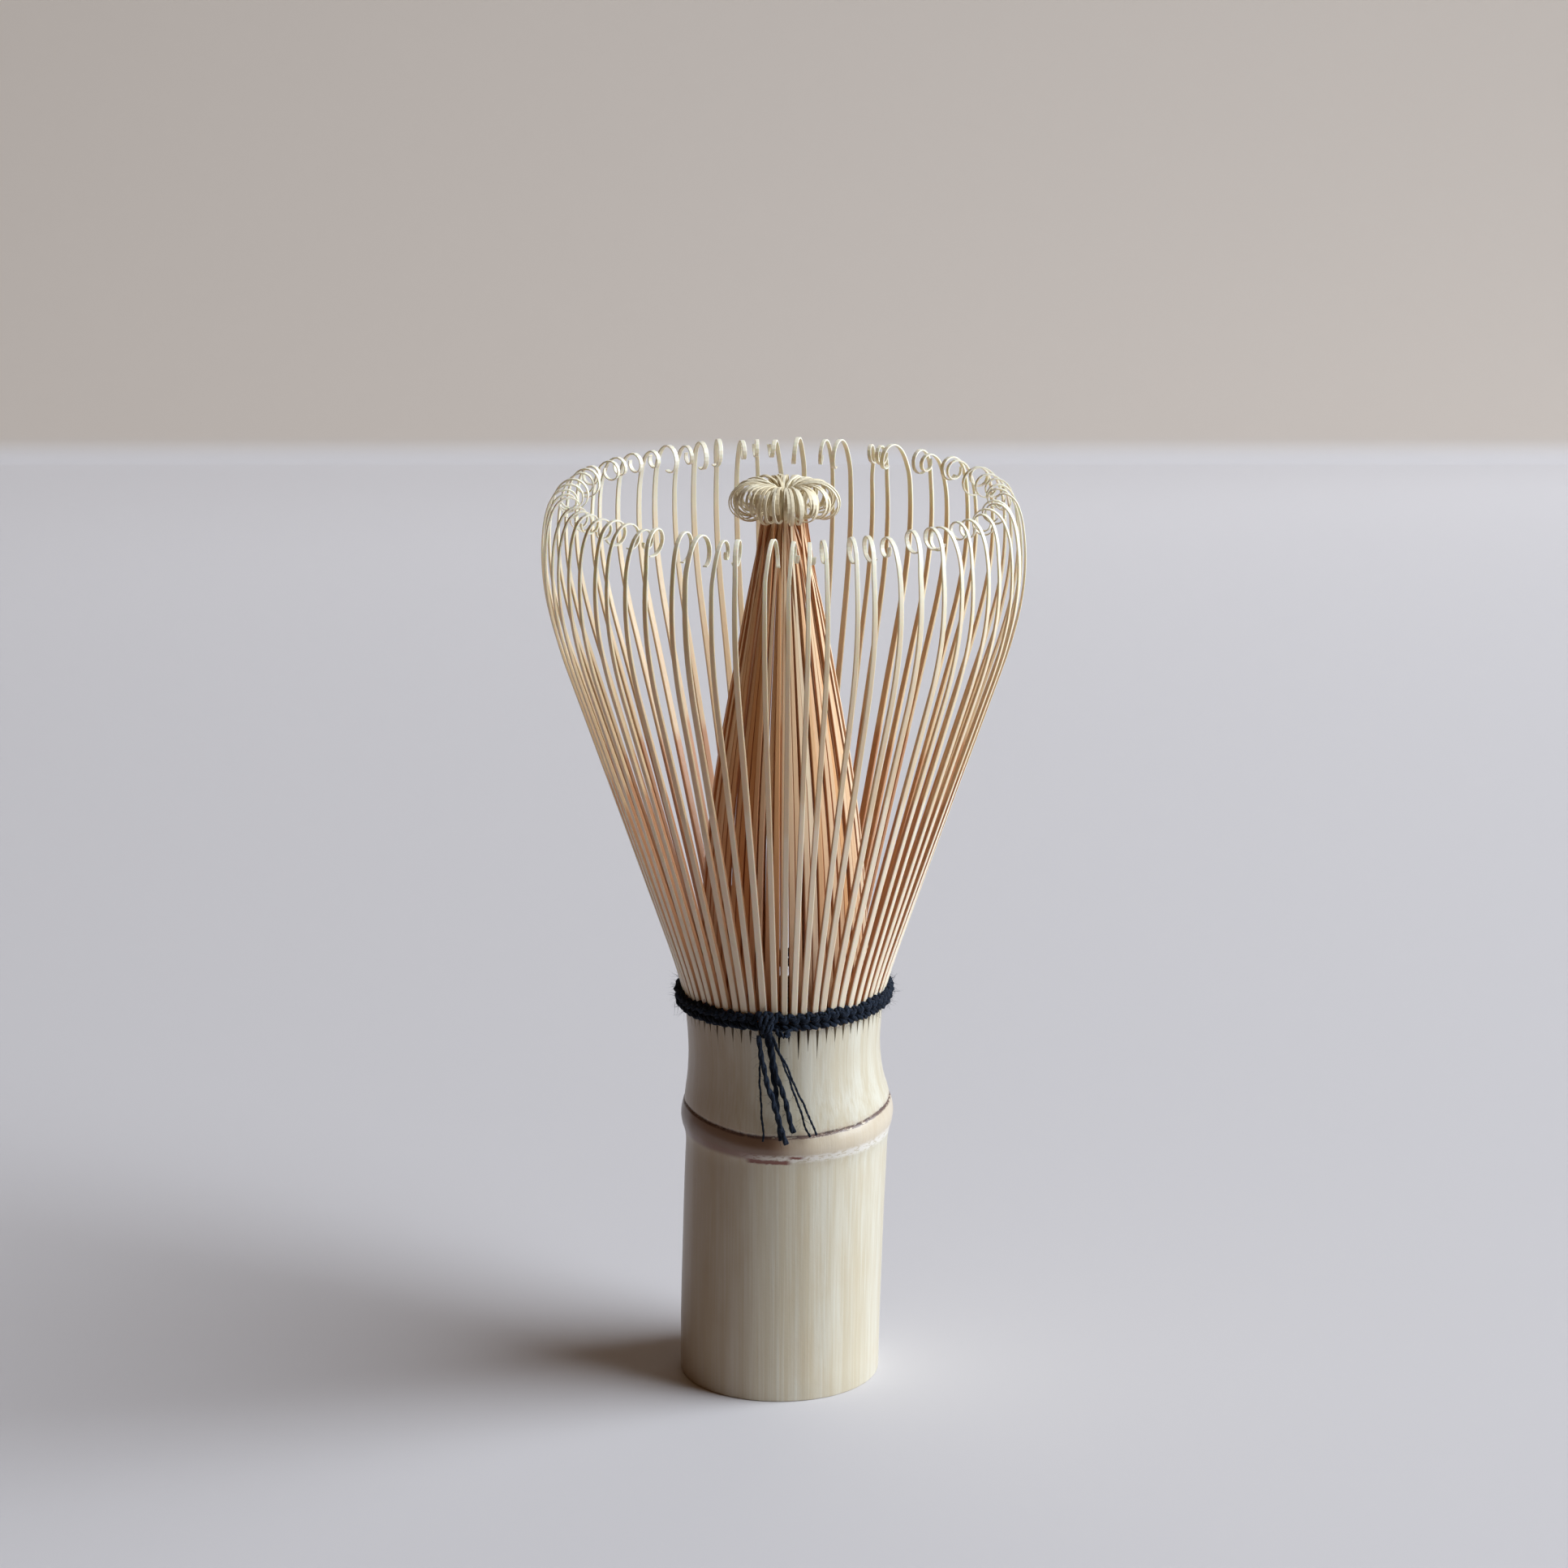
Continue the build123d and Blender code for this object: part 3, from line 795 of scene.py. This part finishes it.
INNER_RUST = (0.78, 0.42, 0.18)
INNER_CREAM = (1.0, 0.83, 0.58)
INNER_FLANK_SHADE = (0.54, 0.20, 0.07)
INNER_SHADE_RUST = (0.42, 0.14, 0.04)
INNER_STREAK = (0.50, 0.24, 0.11)
INNER_NECK_SHADE = (0.45, 0.17, 0.06)
CURL_DULL = (0.78, 0.66, 0.44)
CURL_PALE = (0.90, 0.83, 0.64)
inner_finish, tree, shader = new_finish("shaved_inner_tine", 0.45)
place = put(tree, "ShaderNodeTexCoord").outputs["Object"]
axes = put(tree, "ShaderNodeSeparateXYZ", {0: place}).outputs
height = Value(tree, axes["Z"]) * 1000
streak, fibre_height = add_fibres(tree, tine_place(tree))
own = of_tine(tree, 5.1)
face = mixed(tree, own, INNER_RUST, INNER_CREAM)
# The strips' flanks, where they face each other across the gaps, are painted a darker rust: painted shade
# between the packed strips.
flank_shade = 1 - between(stored(tree, "across").math("ABSOLUTE") * -1, -0.95, -0.8)
colour = mixed(tree, flank_shade * 0.75, face, INNER_FLANK_SHADE)
# The bundle's −X side, away from the window, is painted a deeper rust: painted shade, as on the culm.
painted_shade_side = between(Value(tree, axes["X"]) * -1000, -1.0, 4.0)
colour = mixed(tree, painted_shade_side * 0.45, colour, INNER_SHADE_RUST)
colour = mixed(tree, between(streak, 0.48, 0.7) * 0.35, colour, INNER_STREAK)
# Round the neck, where the bundle is gathered tight, the strips are painted a darker rust: painted shade
# in the gaps.
colour = mixed(tree, between(height, 104.5, 108.0) * 0.2, colour, INNER_NECK_SHADE)
shader.inputs["Specular IOR Level"].default_value = 0.3
curl = mixed(tree, own, CURL_DULL, CURL_PALE)
colour = mixed(tree, between(height, 109.0, 110.6), colour, curl)
tree.links.new(colour, shader.inputs["Base Color"])
raise_surface(tree, shader, fibre_height, 0.00005, 0.4)

# A point near the thread on each outer rib, as (radius, height). Its place is worked out for each rib
# below, but nothing uses it.
BEND_START = (12.6 * MM, 48.9 * MM)
for rib in range(RIBS):
    node = f"outer_rib_{rib + 1:02d}"
    outer_rib = grow(node + "_tines", tine_ring, {
        "Profiles": outer_profiles, "First Tine": rib * TINES_PER_RIB, "Tine Count": TINES_PER_RIB,
        "Layers": 1, "Kinds": len(OUTER_CURLS), "Seed": 3, "Ring Count": float(TINES),
        "Root Width": 0.86 * MM, "Shoulder Width": 0.62 * MM, "Tip Width": 0.52 * MM,
        "Root Thickness": 0.72 * MM, "Tip Thickness": 0.16 * MM,
        "Spacing Spread": 0.10, "Sideways Spread": 0.009, "Flare Spread": 0.006,
        "Curl Drift": 1.8 * MM, "Fill": 1.0, "Front Drop": 0.9 * MM, "Material": outer_finish,
    })
    middle = (rib * TINES_PER_RIB + (TINES_PER_RIB - 1) / 2) * 2 * pi / TINES
    outward = Vector((cos(middle), sin(middle), 0.0))
    start = outward * BEND_START[0] + Vector((0, 0, BEND_START[1]))
    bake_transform(outer_rib)
    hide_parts(node)

for rib in range(RIBS):
    node = f"inner_rib_{rib + 1:02d}"
    inner_rib = grow(node + "_tines", tine_ring, {
        "Profiles": inner_profiles, "First Tine": rib * TINES_PER_RIB, "Tine Count": TINES_PER_RIB,
        "Layers": len(INNER_LAYERS), "Kinds": len(INNER_CURLS), "Seed": 8,
        "Ring Count": float(TINES),
        "Root Width": 0.95 * MM, "Shoulder Width": 0.5 * MM, "Tip Width": 0.42 * MM,
        "Root Thickness": 0.6 * MM, "Tip Thickness": 0.12 * MM,
        "Spacing Spread": 0.16, "Sideways Spread": 0.004, "Flare Spread": 0.006,
        "Curl Drift": 0.9 * MM, "Fill": 0.82, "Front Drop": 0.0, "Material": inner_finish,
    })
    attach(inner_rib, "handle")
    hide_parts(node)

for helper in (outer_profiles, inner_profiles):
    bpy.data.objects.remove(helper)

# ---------------------------------------------------------------------------------------------
# The thread: dark blue cotton yarn, two rows of it woven in and out of the outer tines' roots and
# one behind them, drawn up into a knot at the front. Its six cut ends hang down over the collar.

YARN_STEPS_PER_TINE = 8


def yarn(name, path, upright, plies, ply_radius, lay_radius, twist, closed, sides=6):
    """Plies twisted round a path, as one mesh. Twist is the length of one turn."""
    count = len(path)
    points, faces, shares = [], [], []
    travelled = 0.0
    turns = []
    for index in range(count):
        turns.append(travelled / twist)
        if closed or index + 1 < count:
            travelled += (path[(index + 1) % count] - path[index]).length
    if closed:
        whole = round(travelled / twist)
        turns = [turn * whole * twist / travelled for turn in turns]
    for ply in range(plies):
        first = len(points)
        for index, centre in enumerate(path):
            before = path[index - 1] if closed or index > 0 else path[0]
            after = path[(index + 1) % count] if closed or index + 1 < count else path[-1]
            ahead = (after - before).normalized()
            out = upright.cross(ahead).normalized()
            up = ahead.cross(out)
            angle = 2 * pi * (turns[index] + ply / plies)
            fray = 1 + 0.16 * noise.noise(centre * 900 + Vector((0, 0, 3.7 * ply)))
            middle = centre + (out * cos(angle) + up * sin(angle)) * lay_radius * fray
            for side in range(sides):
                swing = 2 * pi * side / sides
                spoke = out * cos(swing) + up * sin(swing)
                points.append(middle + spoke * ply_radius * fray)
                shares.append(turns[index])
        last = count if closed else count - 1
        for index in range(last):
            ahead_row = first + ((index + 1) % count) * sides
            row = first + index * sides
            for side in range(sides):
                beside = (side + 1) % sides
                faces.append((row + side, row + beside, ahead_row + beside, ahead_row + side))
        if not closed:
            faces.append(tuple(reversed(range(first, first + sides))))
            end = first + (count - 1) * sides
            faces.append(tuple(range(end, end + sides)))
    mesh = bpy.data.meshes.new(name)
    mesh.from_pydata(points, [], faces)
    mesh.shade_smooth()
    mesh.attributes.new("turn", "FLOAT", "POINT").data.foreach_set("value", shares)
    mesh.materials.append(cotton)
    piece = bpy.data.objects.new(name, mesh)
    scene.collection.objects.link(piece)
    return piece


COTTON_DARK = (0.003, 0.005, 0.010)
COTTON_BLUE = (0.012, 0.022, 0.044)
LINT = (0.11, 0.15, 0.21)
cotton, tree, shader = new_finish("dyed_cotton_yarn", 0.85)
place = put(tree, "ShaderNodeTexCoord").outputs["Object"]
in_mm = stretched(tree, place, (1000.0, 1000.0, 1000.0))
strands = noise_at(tree, in_mm, 5.0, 4.0, 0.7)
lint = between(noise_at(tree, in_mm, 11.0, 2.0), 0.62, 0.72)
colour = mixed(tree, between(strands, 0.35, 0.7), COTTON_DARK, COTTON_BLUE)
colour = mixed(tree, lint * 0.45, colour, LINT)
tree.links.new(colour, shader.inputs["Base Color"])
shader.inputs["Specular IOR Level"].default_value = 0.15
shader.inputs["Sheen Weight"].default_value = 0.06
shader.inputs["Sheen Roughness"].default_value = 0.5
raise_surface(tree, shader, strands, 0.00015, 0.8)


def fuzz_tree():
    """Fine bent hairs standing out of a yarn, added to it."""
    tree = bpy.data.node_groups.new("yarn fuzz", "GeometryNodeTree")
    tree.interface.new_socket("Geometry", in_out="INPUT", socket_type="NodeSocketGeometry")
    for name in ("Density", "Hair Length", "Hair Radius", "Bend"):
        tree.interface.new_socket(name, in_out="INPUT", socket_type="NodeSocketFloat")
    tree.interface.new_socket("Seed", in_out="INPUT", socket_type="NodeSocketInt")
    tree.interface.new_socket("Material", in_out="INPUT", socket_type="NodeSocketMaterial")
    tree.interface.new_socket("Geometry", in_out="OUTPUT", socket_type="NodeSocketGeometry")
    given = tree.nodes.new("NodeGroupInput").outputs
    scatter = put(tree, "GeometryNodeDistributePointsOnFaces", {
        "Mesh": given["Geometry"], "Density": given["Density"], "Seed": given["Seed"],
    }, distribute_method="RANDOM")
    hair = put(tree, "GeometryNodeMeshCone", {
        "Vertices": 3, "Side Segments": 3, "Radius Bottom": given["Hair Radius"],
        "Radius Top": 0.0, "Depth": given["Hair Length"],
    })
    number = Value(tree, put(tree, "GeometryNodeInputIndex").outputs[0])
    seed = Value(tree, given["Seed"])
    tilt = put(tree, "ShaderNodeCombineXYZ", {
        "X": random_value(tree, -1.1, 1.1, number, seed, 31),
        "Y": random_value(tree, -1.1, 1.1, number, seed, 32), "Z": 0.0,
    })
    turned = put(tree, "FunctionNodeRotateEuler", {
        0: scatter.outputs["Rotation"], 1: tilt.outputs[0],
    }, space="LOCAL")
    length = random_value(tree, 0.25, 1.0, number, seed, 33)
    placed = put(tree, "GeometryNodeInstanceOnPoints", {
        "Points": scatter.outputs["Points"], "Instance": hair.outputs["Mesh"],
        "Rotation": turned.outputs[0], "Scale": length,
    })
    hairs = put(tree, "GeometryNodeRealizeInstances", {"Geometry": placed.outputs[0]})
    wave = put(tree, "ShaderNodeTexNoise", {"Scale": 900.0, "Detail": 0.0})
    place = put(tree, "GeometryNodeInputPosition")
    tree.links.new(place.outputs[0], wave.inputs["Vector"])
    centred = put(tree, "ShaderNodeVectorMath", {0: wave.outputs["Color"], 1: (0.5, 0.5, 0.5)},
                  operation="SUBTRACT")
    offset = put(tree, "ShaderNodeVectorMath", {0: centred.outputs[0], "Scale": given["Bend"]},
                 operation="SCALE")
    bent = put(tree, "GeometryNodeSetPosition", {
        "Geometry": hairs.outputs[0], "Offset": offset.outputs[0],
    })
    together = tree.nodes.new("GeometryNodeJoinGeometry")
    tree.links.new(bent.outputs[0], together.inputs[0])
    tree.links.new(given["Geometry"], together.inputs[0])
    finished = put(tree, "GeometryNodeSetMaterial", {
        "Geometry": together.outputs[0], "Material": given["Material"],
    })
    result = tree.nodes.new("NodeGroupOutput")
    tree.links.new(finished.outputs[0], result.inputs[0])
    return tree


yarn_fuzz = fuzz_tree()

# The rows are drawn up a little higher on the +X side.
RING_TILT = 0.22 * MM


def woven_path(radius, height, dip, rise, phase):
    """A ring that stands out over each outer tine, and dips in and up between them."""
    steps = TINES * YARN_STEPS_PER_TINE
    path = []
    for step in range(steps):
        angle = 2 * pi * step / steps
        between_tines = 0.5 - 0.5 * cos(TINES * angle)
        wander = noise.noise(Vector((cos(angle) * 4, sin(angle) * 4, phase)))
        lift = rise * between_tines * (0.8 + 0.6 * wander) + 0.1 * MM * wander
        lift += RING_TILT * cos(angle)
        ring_radius = radius - dip * between_tines + 0.06 * MM * wander
        path.append(Vector((ring_radius * cos(angle), ring_radius * sin(angle), height + lift)))
    return path


def smooth_path(points, steps, wobble, phase):
    """A path in metres through points in millimetres, wobbling a little."""
    corners = [Vector(point) * MM for point in points]
    corners = [corners[0] * 2 - corners[1]] + corners + [corners[-1] * 2 - corners[-2]]
    path = []
    for a, b, c, d in zip(corners, corners[1:], corners[2:], corners[3:]):
        for step in range(steps):
            t = step / steps
            path.append(0.5 * (2 * b + (c - a) * t + (2 * a - 5 * b + 4 * c - d) * t * t
                               + (3 * b - a - 3 * c + d) * t ** 3))
    path.append(corners[-2])
    for index, point in enumerate(path):
        sway = noise.noise(Vector((index * 0.21, phase, 0.4))) * min(1.0, index / 6)
        path[index] = point + Vector((sway * wobble, 0.4 * sway * wobble, 0.0))
    return path


UP = Vector((0, 0, 1))
RIGHT = Vector((1, 0, 0))
thread_pieces = {
    "thread_row_lower": yarn("lower_row", woven_path(13.0 * MM, 49.22 * MM, 0.2 * MM, 0.05 * MM, 1.0),
                             UP, 3, 0.29 * MM, 0.27 * MM, 2.6 * MM, True),
    "thread_row_upper": yarn("upper_row", woven_path(13.2 * MM, 50.1 * MM, 0.5 * MM, 0.6 * MM, 5.0),
                             UP, 3, 0.29 * MM, 0.27 * MM, -2.4 * MM, True),
    "thread_row_inner": yarn("inner_row", woven_path(11.05 * MM, 49.9 * MM, 0.1 * MM, 0.2 * MM, 9.0),
                             UP, 2, 0.2 * MM, 0.16 * MM, 2.2 * MM, True),
}
KNOT_LOOPS = [
    [(-2.9, -13.0, 51.0), (-2.8, -13.9, 50.5), (-2.6, -14.3, 49.6),
     (-2.45, -14.1, 48.8), (-2.3, -13.4, 48.3)],
    [(-2.2, -13.1, 51.1), (-2.15, -13.95, 50.6), (-2.0, -14.35, 49.6),
     (-1.95, -14.1, 48.7), (-2.1, -13.4, 48.2)],
    [(-1.5, -13.1, 50.9), (-1.5, -14.0, 50.3), (-1.7, -14.3, 49.5),
     (-1.8, -14.1, 48.8), (-1.9, -13.5, 48.3)],
    [(-0.9, -13.4, 48.9), (-0.4, -14.1, 48.75), (0.1, -14.2, 48.6),
     (0.5, -14.0, 48.8), (0.7, -13.4, 49.0)],
]
# Each cut end: a whole yarn or one of its plies, how much it wobbles, and its way down.
TAIL_ROUTES = [
    ("ply", 0.2, [(-2.85, -13.8, 48.6), (-3.0, -13.75, 44.0), (-2.8, -13.7, 39.5), (-2.5, -13.72, 34.8)]),
    ("yarn", 0.2, [(-3.1, -14.2, 48.6), (-2.45, -14.6, 44.5), (-1.25, -14.7, 40.0), (0.2, -14.5, 34.7)]),
    ("yarn", 0.2, [(-2.1, -13.85, 48.6), (-1.5, -13.8, 45.0), (-1.0, -13.75, 40.5), (-0.5, -13.85, 35.0)]),
    ("yarn", 0.2, [(-1.65, -14.35, 48.6), (-0.8, -14.2, 43.5), (0.4, -13.95, 39.0), (1.2, -13.8, 36.0)]),
    ("ply", 0.3, [(-1.55, -13.8, 48.6), (0.1, -13.45, 44.2), (1.6, -13.35, 39.8), (3.15, -13.55, 35.3)]),
    ("ply", 0.3, [(-1.38, -14.5, 48.6), (0.6, -14.2, 44.0), (2.5, -13.9, 39.5), (4.05, -13.6, 35.6)]),
]
# The radius of each ply, how far it lies from the middle, and the length of one twist.
END_TWISTS = {"yarn": (0.26 * MM, 0.12 * MM, 3.4 * MM), "ply": (0.12 * MM, 0.045 * MM, 1.6 * MM)}
loops = [
    yarn(f"knot_loop_{number}", smooth_path(route, 8, 0.0, 0.0), RIGHT, 2, 0.24 * MM, 0.2 * MM,
         2.2 * MM, False)
    for number, route in enumerate(KNOT_LOOPS)
]
with bpy.context.temp_override(active_object=loops[0], selected_editable_objects=loops):
    bpy.ops.object.join()
thread_pieces["thread_knot"] = loops[0]
for number, (kind, wobble, route) in enumerate(TAIL_ROUTES, 1):
    ply_radius, lay, twist = END_TWISTS[kind]
    path = smooth_path(route, 14, wobble * MM, number * 3.1)
    thread_pieces[f"thread_tail_{number}"] = yarn(
        f"tail_{number}", path, RIGHT, 2, ply_radius, lay, twist, False)

# Loose hairs to a square metre of yarn.
HAIRS_ON_ROWS = 2.2e6
HAIRS_ON_ENDS = 1.4e6
FIRST_FUZZ_SEED = 40
for number, (node, bare) in enumerate(thread_pieces.items()):
    fuzzy = grow(bare.name + "_yarn", yarn_fuzz, {
        "Density": HAIRS_ON_ROWS if "row" in node else HAIRS_ON_ENDS,
        "Hair Length": 1.9 * MM, "Hair Radius": 0.022 * MM, "Bend": 0.9 * MM,
        "Seed": FIRST_FUZZ_SEED + number, "Material": cotton,
    }, bare)
    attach(fuzzy, "handle")
    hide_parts(node)
